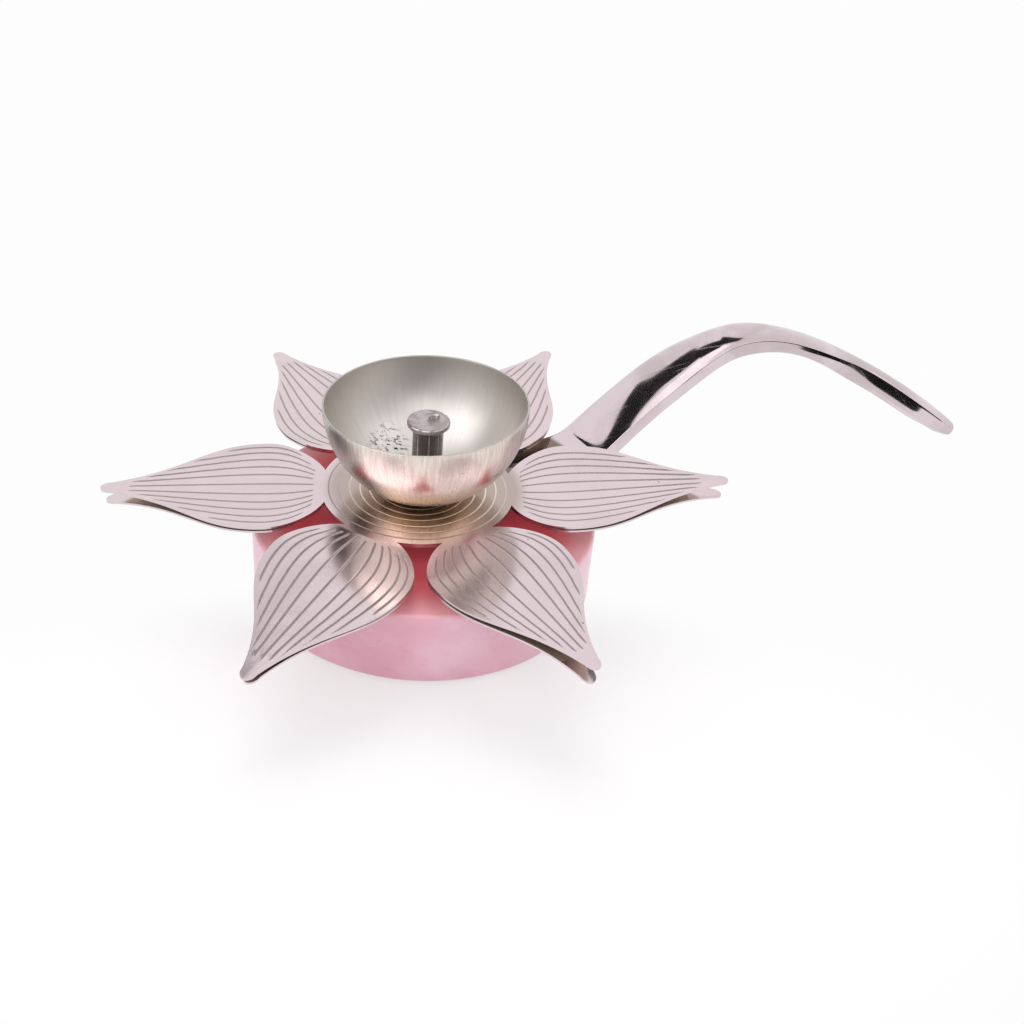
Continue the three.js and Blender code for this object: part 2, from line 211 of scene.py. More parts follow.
def newGroup(name, inputs, outputs):
    group = bpy.data.node_groups.new(name, "ShaderNodeTree")
    for label, kind, value in inputs:
        socket = group.interface.new_socket(name=label, in_out="INPUT", socket_type=kind)
        if value is not None:
            socket.default_value = value
    for label, kind in outputs:
        group.interface.new_socket(name=label, in_out="OUTPUT", socket_type=kind)
    return group, addNode(group, "NodeGroupInput"), addNode(group, "NodeGroupOutput")


def useGroup(tree, group, vector, values):
    return addNode(tree, "ShaderNodeGroup", {"Vector": vector, **values}, {"node_tree": group}).outputs


wearMarks = {"smudgeEdge": (0.38, 0.66), "smudgeDetail": 5.0, "smudgeRough": 0.62, "smudgeBend": 0.6,
             "grainSize": 2600.0, "pitEdge": (0.12, 0.04), "scratchEdge": (0.66, 0.72),
             # how far each family of scratches is squeezed, and how it is turned
             "scratchLines": (((1, 26, 1), (0, 0, 0.5)), ((1, 34, 1), (0.3, 0.2, -1.1)))}


# Soft smudges left by hands and polish, and a fine grain under them
def makeSmudges():
    marks = wearMarks
    group, start, stop = newGroup("smudges", [("Vector", "NodeSocketVector", None),
                                              ("Size", "NodeSocketFloat", 60.0)],
                                  [("Smudge", "NodeSocketFloat"), ("Grain", "NodeSocketFloat")])
    where, size = start.outputs["Vector"], start.outputs["Size"]
    wide = addNode(group, "ShaderNodeTexNoise", {
        "Vector": where, "Scale": size, "Detail": marks["smudgeDetail"], "Roughness": marks["smudgeRough"],
        "Distortion": marks["smudgeBend"]})
    fine = addNode(group, "ShaderNodeTexNoise", {"Vector": where, "Scale": marks["grainSize"], "Detail": 2.0})
    feed(group, stop, {"Smudge": stepNode(group, wide.outputs["Fac"], marks["smudgeEdge"]),
                       "Grain": fine.outputs["Fac"]})
    return group


# Sparse dark pits; Amount is the share of cells that hold one
def makePits():
    group, start, stop = newGroup("pits", [("Vector", "NodeSocketVector", None),
                                           ("Size", "NodeSocketFloat", 300.0),
                                           ("Amount", "NodeSocketFloat", 0.1)],
                                  [("Pit", "NodeSocketFloat")])
    where, size = start.outputs["Vector"], start.outputs["Size"]
    cells = addNode(group, "ShaderNodeTexVoronoi", {"Vector": where, "Scale": size, "Randomness": 1.0})
    near = stepNode(group, cells.outputs["Distance"], wearMarks["pitEdge"])
    split = addNode(group, "ShaderNodeSeparateColor", {"Color": cells.outputs["Color"]})
    chosen = mathNode(group, "LESS_THAN", split.outputs["Red"], start.outputs["Amount"])
    feed(group, stop, {"Pit": timesNode(group, near, chosen)})
    return group


# Hair scratches in two directions
def makeScratches():
    group, start, stop = newGroup("scratches", [("Vector", "NodeSocketVector", None),
                                                ("Size", "NodeSocketFloat", 90.0)],
                                  [("Scratch", "NodeSocketFloat")])
    where, size = start.outputs["Vector"], start.outputs["Size"]
    masks = [stepNode(group, noiseNode(group, where, size, 2.0, 0.5, *line), wearMarks["scratchEdge"])
             for line in wearMarks["scratchLines"]]
    feed(group, stop, {"Scratch": mathNode(group, "MAXIMUM", *masks)})
    return group


smudges = makeSmudges()
pits = makePits()
scratches = makeScratches()


# A bump's strength, and its depth in millimetres
def addBump(tree, shader, height, strength, depth):
    bump = addNode(tree, "ShaderNodeBump", {"Height": height, "Strength": strength, "Distance": depth * mm})
    feed(tree, shader, {"Normal": bump.outputs[0]})


# A metal with smudges and pits in the sizes of its own finish
def newMetal(name, f):
    material, tree, shader, where = newMaterial(name, {"Metallic": 1.0})
    wear = useGroup(tree, smudges, where, {"Size": f["smudgeSize"]})
    spots = useGroup(tree, pits, where, {"Size": f["pitSize"], "Amount": f["pitAmount"]})
    return material, tree, shader, where, wear, timesNode(tree, spots["Pit"], f["pitStrength"])


# Colours laid over one another, each where its mask says
def layers(tree, shade, *pairs):
    for mask, colour in pairs:
        shade = mixColours(tree, mask, shade, colour)
    return shade


petalFinish = {
    "clean": (0.74, 0.625, 0.655), "smudgeTone": 0.94, "groove": (0.43, 0.35, 0.355),
    # painted light on the disc: the warm tone is a reflection of the bowl beneath it, the ring tone glints on
    # its rings, the foot tone is shade round the bowl's foot, and the side tone is a dark reflection to its
    # left and right
    "pit": (0.16, 0.12, 0.12), "paintedBowlReflection": (0.88, 0.74, 0.62), "foot": (0.34, 0.26, 0.21),
    "side": (0.44, 0.36, 0.33), "ring": (0.97, 0.88, 0.78),
    "smudgeSize": 45.0, "pitSize": 300.0, "pitAmount": 0.06, "pitStrength": 0.7, "scratchSize": 70.0,
    # distances from the disc's middle where a tone starts and where it is full
    "discMiddle": (0.0, 0.0, 26.7), "bowlReflectionReach": (24.0, 14.0), "footReach": (19.0, 11.0),
    "sideReach": (7.0, 16.0), "discReach": (25.5, 21.5), "footStrength": 0.85, "sideStrength": 0.85,
    "grooveEdge": (0.12, 0.45), "rough": (0.13, 0.19), "scratchRough": 0.08, "grooveRough": 0.25,
    "bump": (0.12, 0.02),
}


def makePetalSilver():
    f = petalFinish
    material, tree, shader, where, wear, spots = newMetal("petalSilver", f)
    hair = useGroup(tree, scratches, where, {"Size": f["scratchSize"]})
    groove = addNode(tree, "ShaderNodeAttribute", None, {"attribute_name": "groove"}).outputs["Fac"]
    cut = stepNode(tree, groove, f["grooveEdge"])
    reach = vectorNode(tree, "DISTANCE", where, place(*f["discMiddle"]))["Value"]
    # Painted reflection of the bowl on the disc beneath it: warm, without the grooves' dark tone, and with
    # glints on the rings
    bowlReflection = reachNode(tree, reach, f["bowlReflectionReach"])
    # Painted shade round the bowl's foot
    foot = reachNode(tree, reach, f["footReach"], f["footStrength"])
    # Painted dark reflection on the disc's left and right
    across = mathNode(tree, "ABSOLUTE", axisNode(tree, where, "X"))
    side = reachNode(tree, across, f["sideReach"], f["sideStrength"])
    side = timesNode(tree, side, reachNode(tree, reach, f["discReach"]))
    groovesBeyondBowl = timesNode(tree, cut, mathNode(tree, "SUBTRACT", 1.0, bowlReflection))
    shade = layers(tree, f["clean"], (wear["Smudge"], toned(f["clean"], f["smudgeTone"])),
                   (bowlReflection, f["paintedBowlReflection"]), (foot, f["foot"]), (side, f["side"]), (groovesBeyondBowl, f["groove"]),
                   (timesNode(tree, cut, bowlReflection), f["ring"]), (spots, f["pit"]))
    rough = rangeNode(tree, wear["Smudge"], 0, 1, *f["rough"])
    rough = plusNode(tree, rough, hair["Scratch"], f["scratchRough"])
    rough = plusNode(tree, rough, cut, f["grooveRough"])
    feed(tree, shader, {"Base Color": shade, "Roughness": rough})
    addBump(tree, shader, wear["Grain"], *f["bump"])
    return material


handleFinish = {
    "clean": (0.71, 0.61, 0.645), "smudge": (0.58, 0.49, 0.51), "pit": (0.12, 0.10, 0.10),
    # the root tone is painted shade where the tang runs under the petals
    "root": (0.22, 0.165, 0.14), "rootReach": (50.5, 48.8),
    "smudgeSize": 60.0, "pitSize": 330.0, "pitAmount": 0.12, "pitStrength": 0.8, "scratchSize": 60.0,
    "rough": (0.05, 0.12), "scratchRough": 0.12, "bump": (0.004, 0.02),
}


def makeHandleSilver():
    f = handleFinish
    material, tree, shader, where, wear, spots = newMetal("handleSilver", f)
    hair = useGroup(tree, scratches, where, {"Size": f["scratchSize"]})
    # Painted shade on the tang under the petals
    root = reachNode(tree, vectorNode(tree, "LENGTH", where)["Value"], f["rootReach"])
    shade = layers(tree, f["clean"], (wear["Smudge"], f["smudge"]), (root, f["root"]), (spots, f["pit"]))
    rough = rangeNode(tree, wear["Smudge"], 0, 1, *f["rough"])
    rough = plusNode(tree, rough, hair["Scratch"], f["scratchRough"])
    feed(tree, shader, {"Base Color": shade, "Roughness": rough})
    addBump(tree, shader, wear["Grain"], *f["bump"])
    return material


# Lines that run from foot to rim: noise on the angle round the axis. Fine ones are brushing; broad ones, on
# the wick holder's post, are painted dark reflections
def brushingAndReflectionLines(tree, where, scale, detail):
    x, y, z = addNode(tree, "ShaderNodeSeparateXYZ", {0: where}).outputs
    joined = addNode(tree, "ShaderNodeCombineXYZ", {"X": mathNode(tree, "ARCTAN2", y, x),
                                                    "Y": timesNode(tree, z, 4.0)})
    return noiseNode(tree, joined.outputs[0], scale, detail, 0.6)


outsideFinish = {
    "clean": (1.0, 0.90, 0.80), "streak": (0.66, 0.56, 0.49), "paintedDarkening": (0.40, 0.355, 0.335),
    "pit": (0.03, 0.025, 0.022), "smudgeSize": 80.0, "pitSize": 420.0, "pitAmount": 0.08, "pitStrength": 0.5,
    "lines": (34.0, 4.0), "streakEdge": (0.42, 0.68), "streakStrength": 0.35,
    # painted dark reflection: darker to the left and right, and a little towards the rim
    "sideReach": (10.0, 23.0), "highReach": (40.0, 51.0), "highStrength": 0.45,
    "darkeningLines": (0.3, 0.6, 0.55, 1), "roughLines": (0.3, 0.7, 0.22, 0.33), "smudgeRough": 0.05,
    "bump": (0.25, 0.03),
}


def makeBowlOutside():
    f = outsideFinish
    material, tree, shader, where, wear, spots = newMetal("bowlOutsideSilver", f)
    lines = brushingAndReflectionLines(tree, where, *f["lines"])
    streak = stepNode(tree, lines, f["streakEdge"], f["streakStrength"])
    # Painted dark reflection on the bowl's left and right and near its rim, broken up by the brushed lines
    side = reachNode(tree, mathNode(tree, "ABSOLUTE", axisNode(tree, where, "X")), f["sideReach"])
    high = reachNode(tree, axisNode(tree, where, "Z"), f["highReach"], f["highStrength"])
    paintedDarkening = mathNode(tree, "MAXIMUM", side, high)
    paintedDarkening = timesNode(tree, paintedDarkening, rangeNode(tree, lines, *f["darkeningLines"]))
    shade = layers(tree, f["clean"], (streak, f["streak"]), (paintedDarkening, f["paintedDarkening"]), (spots, f["pit"]))
    rough = rangeNode(tree, lines, *f["roughLines"])
    rough = plusNode(tree, rough, wear["Smudge"], f["smudgeRough"])
    feed(tree, shader, {"Base Color": shade, "Roughness": rough})
    addBump(tree, shader, lines, *f["bump"])
    return material


insideFinish = {
    "clean": (0.70, 0.655, 0.63), "lineTone": 0.8, "rim": (0.47, 0.455, 0.415),
    "soot": (0.03, 0.025, 0.022), "smudgeSize": 90.0, "lines": (22.0, 3.0), "lineEdge": (0.4, 0.7, 0, 0.35),
    "rimReach": (41.0, 50.0), "rimStrength": 0.6, "sootPlace": (-8.8, 11.9, 32.0), "sootReach": (6.8, 2.0),
    "flakes": (620.0, 4.0, 0.7, (1, 2.6, 1), (0, 0, 0.6)), "flakeEdge": (0.53, 0.6),
    "rough": (0.41, 0.47), "sootRough": 0.4, "bump": (0.15, 0.03),
}


def makeBowlInside():
    f = insideFinish
    material, tree, shader, where = newMaterial("bowlInsideSilver", {"Metallic": 1.0})
    wear = useGroup(tree, smudges, where, {"Size": f["smudgeSize"]})
    lines = brushingAndReflectionLines(tree, where, *f["lines"])
    reach = vectorNode(tree, "DISTANCE", where, place(*f["sootPlace"]))["Value"]
    flakes = stepNode(tree, noiseNode(tree, where, *f["flakes"]), f["flakeEdge"])
    soot = timesNode(tree, reachNode(tree, reach, f["sootReach"]), flakes)
    rim = reachNode(tree, axisNode(tree, where, "Z"), f["rimReach"], f["rimStrength"])
    lined = rangeNode(tree, lines, *f["lineEdge"])
    shade = layers(tree, f["clean"], (lined, toned(f["clean"], f["lineTone"])), (rim, f["rim"]),
                   (soot, f["soot"]))
    rough = rangeNode(tree, wear["Smudge"], 0, 1, *f["rough"])
    rough = plusNode(tree, rough, soot, f["sootRough"])
    feed(tree, shader, {"Base Color": shade, "Roughness": rough})
    addBump(tree, shader, mathNode(tree, "ADD", lines, soot), *f["bump"])
    return material


wickFinish = {
    # the band tone is painted dark reflection down the post
    "clean": (0.52, 0.455, 0.465), "worn": (0.30, 0.25, 0.25), "band": (0.13, 0.11, 0.105),
    "smudgeSize": 260.0, "pitSize": 700.0, "pitAmount": 0.4, "pitStrength": 0.6, "wornStrength": 0.6,
    "lines": (4.0, 2.0), "bandEdge": (0.63, 0.56), "bandStrength": 0.95, "flangeBottom": 44.5,
    "rough": (0.2, 0.42), "bump": (0.4, 0.08),
}


def makeWickSilver():
    f = wickFinish
    material, tree, shader, where, wear, spots = newMetal("wickSilver", f)
    lines = brushingAndReflectionLines(tree, where, *f["lines"])
    onPost = mathNode(tree, "LESS_THAN", axisNode(tree, where, "Z"), f["flangeBottom"] * mm)
    # Painted dark reflections: broad dark bands down the post
    bands = timesNode(tree, onPost, stepNode(tree, lines, f["bandEdge"]))
    worn = timesNode(tree, wear["Smudge"], f["wornStrength"])
    banded = timesNode(tree, bands, f["bandStrength"])
    shade = layers(tree, f["clean"], (worn, f["worn"]), (spots, f["worn"]), (banded, f["band"]))
    rough = rangeNode(tree, wear["Smudge"], 0, 1, *f["rough"])
    feed(tree, shader, {"Base Color": shade, "Roughness": rough})
    addBump(tree, shader, wear["Smudge"], *f["bump"])
    return material


blockFinish = {
    "rose": (0.80, 0.40, 0.51), "pale": (0.90, 0.58, 0.69), "deep": (0.66, 0.24, 0.33),
    # the top's deep tones are painted shade under the petals
    "topMiddle": (0.85, 0.13, 0.17), "topEdge": (0.92, 0.46, 0.52),
    # glow is painted light: the block glows a little in its own colours, standing in for light through it
    "coat": 0.35, "coatRough": 0.12, "glow": 0.12,
    "clouds": (38.0, 6.0, 0.6), "veins": (120.0, 5.0, 0.65, (1, 1, 1.8)), "grain": (1500.0, 2.0),
    "cloudEdge": (0.36, 0.66), "veinEdge": (0.58, 0.74), "veinStrength": 0.55,
    "deepEdge": (0.42, 0.28), "deepStrength": 0.4,
    # the top's darker middle is painted shade under the petals: how far from the axis it fades, with the
    # clouds' wander, and the top's height
    "topReach": (34.0, 46.0), "topWander": 8.0, "topHeight": (19.2, 20.1),
    "rough": (0.3, 0.7, 0.28, 0.42), "grainShare": 0.2, "bump": (0.1, 0.05),
}


def makeRoseBlock():
    f = blockFinish
    material, tree, shader, where = newMaterial("roseBlock", {"Coat Weight": f["coat"],
                                                              "Coat Roughness": f["coatRough"],
                                                              "Emission Strength": f["glow"]})
    clouds = noiseNode(tree, where, *f["clouds"])
    veins = noiseNode(tree, where, *f["veins"])
    grain = noiseNode(tree, where, *f["grain"])
    cloudy = stepNode(tree, clouds, f["cloudEdge"])
    pale = stepNode(tree, veins, f["veinEdge"], f["veinStrength"])
    deep = stepNode(tree, veins, f["deepEdge"], f["deepStrength"])
    flat = vectorNode(tree, "MULTIPLY", where, (1, 1, 0))["Vector"]
    outwards = plusNode(tree, vectorNode(tree, "LENGTH", flat)["Value"], clouds, f["topWander"] * mm)
    # Painted shade on the top, deepest in the middle under the petals
    topShade = mixColours(tree, reachNode(tree, outwards, f["topReach"]), f["topMiddle"], f["topEdge"])
    onTop = reachNode(tree, axisNode(tree, where, "Z"), f["topHeight"])
    shade = layers(tree, f["rose"], (cloudy, f["pale"]), (pale, f["pale"]), (deep, f["deep"]),
                   (onTop, topShade))
    rough = rangeNode(tree, clouds, *f["rough"])
    # Painted light: the block glows in its own colours
    feed(tree, shader, {"Base Color": shade, "Emission Color": shade, "Roughness": rough})
    relief = plusNode(tree, veins, grain, f["grainShare"])
    addBump(tree, shader, relief, *f["bump"])
    return material


plainFinish = {"smudgeTone": 0.7, "scratchRough": 0.1, "bump": (0.1, 0.03)}


def makePlainMetal(name, colour, low, high, size):
    f = plainFinish
    material, tree, shader, where = newMaterial(name, {"Metallic": 1.0})
    wear = useGroup(tree, smudges, where, {"Size": size})
    hair = useGroup(tree, scratches, where, {"Size": size})
    shade = mixColours(tree, wear["Smudge"], colour, toned(colour, f["smudgeTone"]))
    rough = rangeNode(tree, wear["Smudge"], 0, 1, low, high)
    rough = plusNode(tree, rough, hair["Scratch"], f["scratchRough"])
    feed(tree, shader, {"Base Color": shade, "Roughness": rough})
    addBump(tree, shader, wear["Grain"], *f["bump"])
    return material


softFinish = {"fibres": (6.0, 0.7), "patchSize": 0.06, "patchEdge": (0.4, 0.7, 0, 0.35),
              "roughEdge": (0.3, 0.7), "smoother": 0.08, "rougher": 0.05, "bump": 0.6}


def makeSoftMaterial(name, dark, light, scale, rough, depth):
    f = softFinish
    material, tree, shader, where = newMaterial(name, {})
    fibres = noiseNode(tree, where, scale, *f["fibres"])
    patches = noiseNode(tree, where, scale * f["patchSize"])
    shade = layers(tree, dark, (fibres, light), (rangeNode(tree, patches, *f["patchEdge"]), dark))
    spread = rangeNode(tree, fibres, *f["roughEdge"], rough - f["smoother"],
                       rough + f["rougher"])
    feed(tree, shader, {"Base Color": shade, "Roughness": spread})
    addBump(tree, shader, fibres, f["bump"], depth)
    return material


petalSilver = makePetalSilver()
handleSilver = makeHandleSilver()
bowlOutside = makeBowlOutside()
bowlInside = makeBowlInside()
wickSilver = makeWickSilver()
roseBlock = makeRoseBlock()
# Tarnish with painted shade, for the plates' undersides and the covered part of the lower plate
tarnishAndShade = makePlainMetal("tarnishAndShadeSilver", (0.62, 0.52, 0.44), 0.5, 0.62, 90.0)
fastenerSteel = makePlainMetal("fastenerSteel", (0.52, 0.52, 0.53), 0.25, 0.4, 220.0)
darkFelt = makeSoftMaterial("darkFelt", (0.02, 0.012, 0.014), (0.09, 0.06, 0.065), 1400.0, 0.92, 0.25)
blackRubber = makeSoftMaterial("blackRubber", (0.012, 0.011, 0.01), (0.035, 0.032, 0.03), 900.0, 0.7, 0.05)
print("materials ready")

heights = {"padTop": 1.0, "blockTop": 20.1, "tangTop": 24.5, "eyeTop": 25.7, "lowerTop": 26.2,
           "discTop": 26.7, "bowlRim": 50.4, "bowlFloor": 27.2}
boltHole = 2.3

flower = {
    "centre": (-1.9, 0.5),  # the outlines sit off the bolt
    "thickness": 0.5, "edgeRounding": 0.12, "seam": 0.02,
    "discRadius": 23.4, "discSegments": 360, "discGrooves": (21.5, 19.0, 16.5, 14.0, 11.7, 9.4),
    "discGrooveHalfWidth": 0.27, "neckAngle": 17, "bellyRadius": 36.5, "bellyHalfWidth": 17.8,
    "tipStart": 73.0, "tipHalfWidth": 1.9, "tipRadius": 75.7,
    # the outline's curves: how far their handles stand off, and their steps
    "neckPull": (2.6, 6.3), "bellyPulls": ((-5.0, 0.0), (15.4, 0.0)), "tipPull": (-18.7, 5.3),
    "curveSteps": (40, 60),
    # rows of faces: beside the disc, along the petal, and in degrees round the tip
    "rowStep": 0.35, "nearRows": 10, "middleRows": 38, "tipRows": (20, 38, 54, 68, 84),
    "bulgeLength": 4.0, "bendStart": 23.7, "bendLength": 8.8, "cup": 0.5, "spreadPower": 2.5,
    # petal by petal
    "rises": (4.2, 1.5, -1.0, -1.7, -5.3, -1.2),
    "spreads": (3.4, 0.5, 0.6, 2.6, 1.1, 4.0),
    "widths": (1.0, 0.93, 0.97, 1.02, 1.0, 0.98),
    "turns": (0.0, 0.8, -0.6, 0.0, 0.0, -0.4),
    "grooveShifts": (-0.5, 0.35, 0.0, -0.2, 0.12, 0.3),  # of one space
    # where the upper plate covers the lower one, the lower one is painted in shade
    "lowerTrim": 1.2, "lowerGap": 0.3, "coveredShadeReach": 66.0, "coveredShadeWander": 3.0,
    "grooveColumns": 3, "grooveHalfWidth": 0.38, "grooveDepth": 0.055, "grooveBlend": 1.8,
    "grooveLip": 0.35,  # at most, of the space beside a groove
    "lastGroove": 5.4, "edgeNumber": 6.3, "edgeSpace": 0.035,
    # groove by groove from the middle: start, end, and share of the half width at the belly
    "grooveStarts": (24.9, 24.85, 24.75, 24.55, 25.2, 27.5),
    "grooveEnds": (69.8, 69.3, 66.8, 61.7, 56.6, 48.0),
    "grooveShares": (0.0, 0.235, 0.42, 0.59, 0.755, 0.89, 0.98),
    "startWander": 0.5, "endWander": 1.6, "startFade": 0.5, "endFade": 1.5,
    # distance from the centre and how far the grooves there have spread towards the edge
    "grooveGrowth": ((22.0, 0.9), (30.0, 1.0), (45.0, 1.0), (50.0, 1.05), (55.0, 1.19), (60.0, 1.44),
                     (65.0, 1.8), (70.0, 2.6), (76.1, 3.0)),
}
neckHalfWidth = flower["discRadius"] * math.sin(math.radians(flower["neckAngle"]))
neckRadius = flower["discRadius"] * math.cos(math.radians(flower["neckAngle"]))


def tipPoint(degrees):
    f = flower
    turn = math.radians(degrees)
    length = f["tipRadius"] - f["tipStart"]
    return Vector((f["tipStart"] + length * math.sin(turn), f["tipHalfWidth"] * math.cos(turn)))


def petalOutline():
    f = flower
    neck = Vector((neckRadius, neckHalfWidth))
    belly = Vector((f["bellyRadius"], f["bellyHalfWidth"]))
    tip = Vector((f["tipStart"], f["tipHalfWidth"]))
    nearPull, farPull = (belly + Vector(pull) for pull in f["bellyPulls"])
    swell = geometry.interpolate_bezier(neck, neck + Vector(f["neckPull"]), nearPull, belly,
                                        f["curveSteps"][0])
    waist = geometry.interpolate_bezier(belly, farPull, tip + Vector(f["tipPull"]), tip,
                                        f["curveSteps"][1])
    return swell + waist[1:] + [tipPoint(degrees) for degrees in range(6, 86, 6)]


outline = petalOutline()


def halfWidthAt(distance):
    for before, after in zip(outline, outline[1:]):
        if distance <= after.x:
            share = (distance - before.x) / max(after.x - before.x, 1e-9)
            return before.y + (after.y - before.y) * max(0.0, share)
    return outline[-1].y


def rowDistances():
    f = flower
    near = [neckRadius + f["rowStep"] * i for i in range(f["nearRows"])]
    step = (f["tipStart"] - near[-1]) / f["middleRows"]
    middle = [near[-1] + step * i for i in range(1, f["middleRows"] + 1)]
    return near + middle + [tipPoint(degrees).x for degrees in f["tipRows"]]


def tableValue(table, key):
    for before, after in zip(table, table[1:]):
        if key <= after[0]:
            break
    share = (key - before[0]) / (after[0] - before[0])
    return before[1] + (after[1] - before[1]) * share


def listValue(values, number):
    return tableValue(list(enumerate(values)), number)


# Where one groove, or one edge, crosses a row, as a share of the half width
def grooveShare(number, distance):
    f = flower
    size = min(abs(number), len(f["grooveShares"]) - 1)
    share = listValue(f["grooveShares"], size) * tableValue(f["grooveGrowth"], distance)
    share = min(share, 1 - f["edgeSpace"] * (f["edgeNumber"] - size))
    return math.copysign(share, number)


# A column's share of the half width: three columns to a groove, one along each edge
def columnShare(column, distance, halfWidth, index):
    f = flower
    if abs(column) == f["neckAngle"]:
        return math.copysign(1.0, column)
    onDisc = math.sin(math.radians(column)) / math.sin(math.radians(f["neckAngle"]))
    number = round(column / f["grooveColumns"])
    shift = f["grooveShifts"][index]
    near, here, far = (grooveShare(number + shift + i, distance) * halfWidth for i in (-1, 0, 1))
    lip = min(f["grooveHalfWidth"], f["grooveLip"] * (far - here), f["grooveLip"] * (here - near))
    inGroove = (here + (column - f["grooveColumns"] * number) * lip) / halfWidth
    return onDisc + (inGroove - onDisc) * fade((distance - neckRadius) / f["grooveBlend"])


def grooveMask(column, distance, index):
    f = flower
    number = abs(column / f["grooveColumns"] + f["grooveShifts"][index])
    if column % f["grooveColumns"] or abs(column) == f["neckAngle"] or number > f["lastGroove"]:
        return 0.0
    start = listValue(f["grooveStarts"], number)
    stop = listValue(f["grooveEnds"], number)
    start += f["startWander"] * noise.noise(Vector((column, 3.7, index)))
    stop += f["endWander"] * noise.noise(Vector((column, 9.1, index)))
    return fade((distance - start) / f["startFade"]) * fade((stop - distance) / f["endFade"])


def petalPoint(distance, column, index, top, lower):
    f = flower
    gap, trim, spread = (f["lowerGap"], f["lowerTrim"], f["spreads"][index]) if lower else (0, 0, 0)
    halfWidth = halfWidthAt(distance)
    share = columnShare(column, distance, halfWidth, index)
    past = max(0.0, distance - f["bendStart"])
    along = past / (f["tipRadius"] - f["bendStart"])
    growth = min(1.0, past / f["bendLength"])
    width = halfWidth * (1 + (f["widths"][index] - 1) * growth)
    arc = f["discRadius"] * math.cos(math.radians(column)) - neckRadius
    bulge = arc * max(0.0, 1 - (distance - neckRadius) / f["bulgeLength"]) ** 2
    cup = f["cup"] * growth * share * share * halfWidth / f["bellyHalfWidth"]
    height = top + f["rises"][index] * along - spread * along ** f["spreadPower"] - gap * growth + cup
    spot = place(distance + bulge - trim * along, share * width, height)
    return turning(f["turns"][index] * growth, "Z") @ spot


# The disc, ring by ring from its edge to the bolt's hole
def addDisc(bm, depth, top, lower):
    f = flower
    centre = place(*f["centre"], 0)
    lip = f["discGrooveHalfWidth"]
    ring = bmesh.ops.create_circle(bm, cap_ends=False, segments=f["discSegments"],
                                   radius=f["discRadius"] * mm,
                                   matrix=Matrix.Translation(place(*f["centre"], top)))["verts"]
    edges = list({edge for vert in ring for edge in vert.link_edges})
    rings = [(groove + side * lip, 1 - abs(side)) for groove in f["discGrooves"] for side in (1, 0, -1)]
    last = f["discRadius"]
    for radius, dip in rings + [(boltHole, 0)]:
        corners, edges = growRow(bm, edges)
        bmesh.ops.scale(bm, verts=corners, vec=(radius / last, radius / last, 1),
                        space=Matrix.Translation(-centre))
        for vert in corners:
            vert[depth] = 0 if lower else dip
        last = radius
    bmesh.ops.translate(bm, verts=corners, vec=-centre)


def addPetals(bm, depth, top, lower):
    f = flower
    distances = rowDistances()
    rows, columns, petals = len(distances) - 1, f["neckAngle"] * 2, len(f["rises"])
    for index in range(petals):
        grid = bmesh.ops.create_grid(bm, x_segments=rows, y_segments=columns, size=1)["verts"]
        for vert in grid:
            distance = distances[round((vert.co.x + 1) / 2 * rows)]
            column = round((vert.co.y + 1) / 2 * columns) - f["neckAngle"]
            vert[depth] = 0 if lower else grooveMask(column, distance, index)
            vert.co = petalPoint(distance, column, index, top, lower)
        bmesh.ops.rotate(bm, verts=grid, cent=(0, 0, 0), matrix=turning(360 / petals * index, "Z"))
        bmesh.ops.translate(bm, verts=grid, vec=place(*f["centre"], 0))


# The lower plate has no grooves. Where the upper one covers it, and on both undersides, it takes a darker
# brown silver: tarnish, and painted shade between and under the plates
def makePlate(name, node, top, lower):
    f = flower
    centre = place(*f["centre"], 0)
    bm = bmesh.new()
    depth = bm.verts.layers.float.new("groove")
    addDisc(bm, depth, top, lower)
    addPetals(bm, depth, top, lower)
    bmesh.ops.remove_doubles(bm, verts=bm.verts, dist=f["seam"] * mm)
    under = cornersOf(bmesh.ops.extrude_face_region(bm, geom=bm.faces[:], use_keep_orig=True))
    bmesh.ops.translate(bm, verts=under, vec=place(0, 0, -f["thickness"]))
    for vert in under:
        vert[depth] = 0
    bmesh.ops.recalc_face_normals(bm, faces=bm.faces)
    bevelSharp(bm, f["edgeRounding"], 2)
    # Painted shade where the upper plate covers the lower one, and on both undersides with their tarnish
    for face in bm.faces:
        spot = face.calc_center_median()
        covered = f["coveredShadeReach"] + f["coveredShadeWander"] * noise.noise(spot * 90)
        hidden = lower and abs(face.normal.z) > 0.5 and (spot - centre).xy.length / mm < covered
        face.material_index = 1 if hidden or face.normal.z < -0.5 else 0
    for vert in bm.verts:
        vert.co.z -= vert[depth] * f["grooveDepth"] * mm
    finishPiece(bm, name, "base", [petalSilver, tarnishAndShade], (node,), 5)


makePlate("lowerPetals", "lower_petal_plate", heights["lowerTop"], True)
makePlate("upperPetals", "upper_petal_plate", heights["discTop"], False)

block = {"topRadius": 41.8, "bottomRadius": 41.4, "topEdge": 1.2, "bottomEdge": 0.4, "steps": 192,
         "counterbore": 6.0, "counterboreDepth": 8.0}


def makeBlock():
    b = block
    bottom, top = heights["padTop"], heights["blockTop"]
    bore = bottom + b["counterboreDepth"]
    low, high = b["bottomEdge"], b["topEdge"]
    profile = [(boltHole, top), (boltHole, bore), (b["counterbore"], bore), (b["counterbore"], bottom)]
    profile += arcProfile(b["bottomRadius"] - low, bottom + low, low, -90, 0, 3)
    profile += arcProfile(b["topRadius"] - high, top - high, high, 0, 90, 6)
    bm = spinProfile(profile, b["steps"], True)
    finishPiece(bm, "roundBlock", "base", [roseBlock], ("round_block",))


pad = {"radius": 39.0, "edge": 0.2, "sideFrom": 0.25, "sideTo": 0.8, "steps": 192}


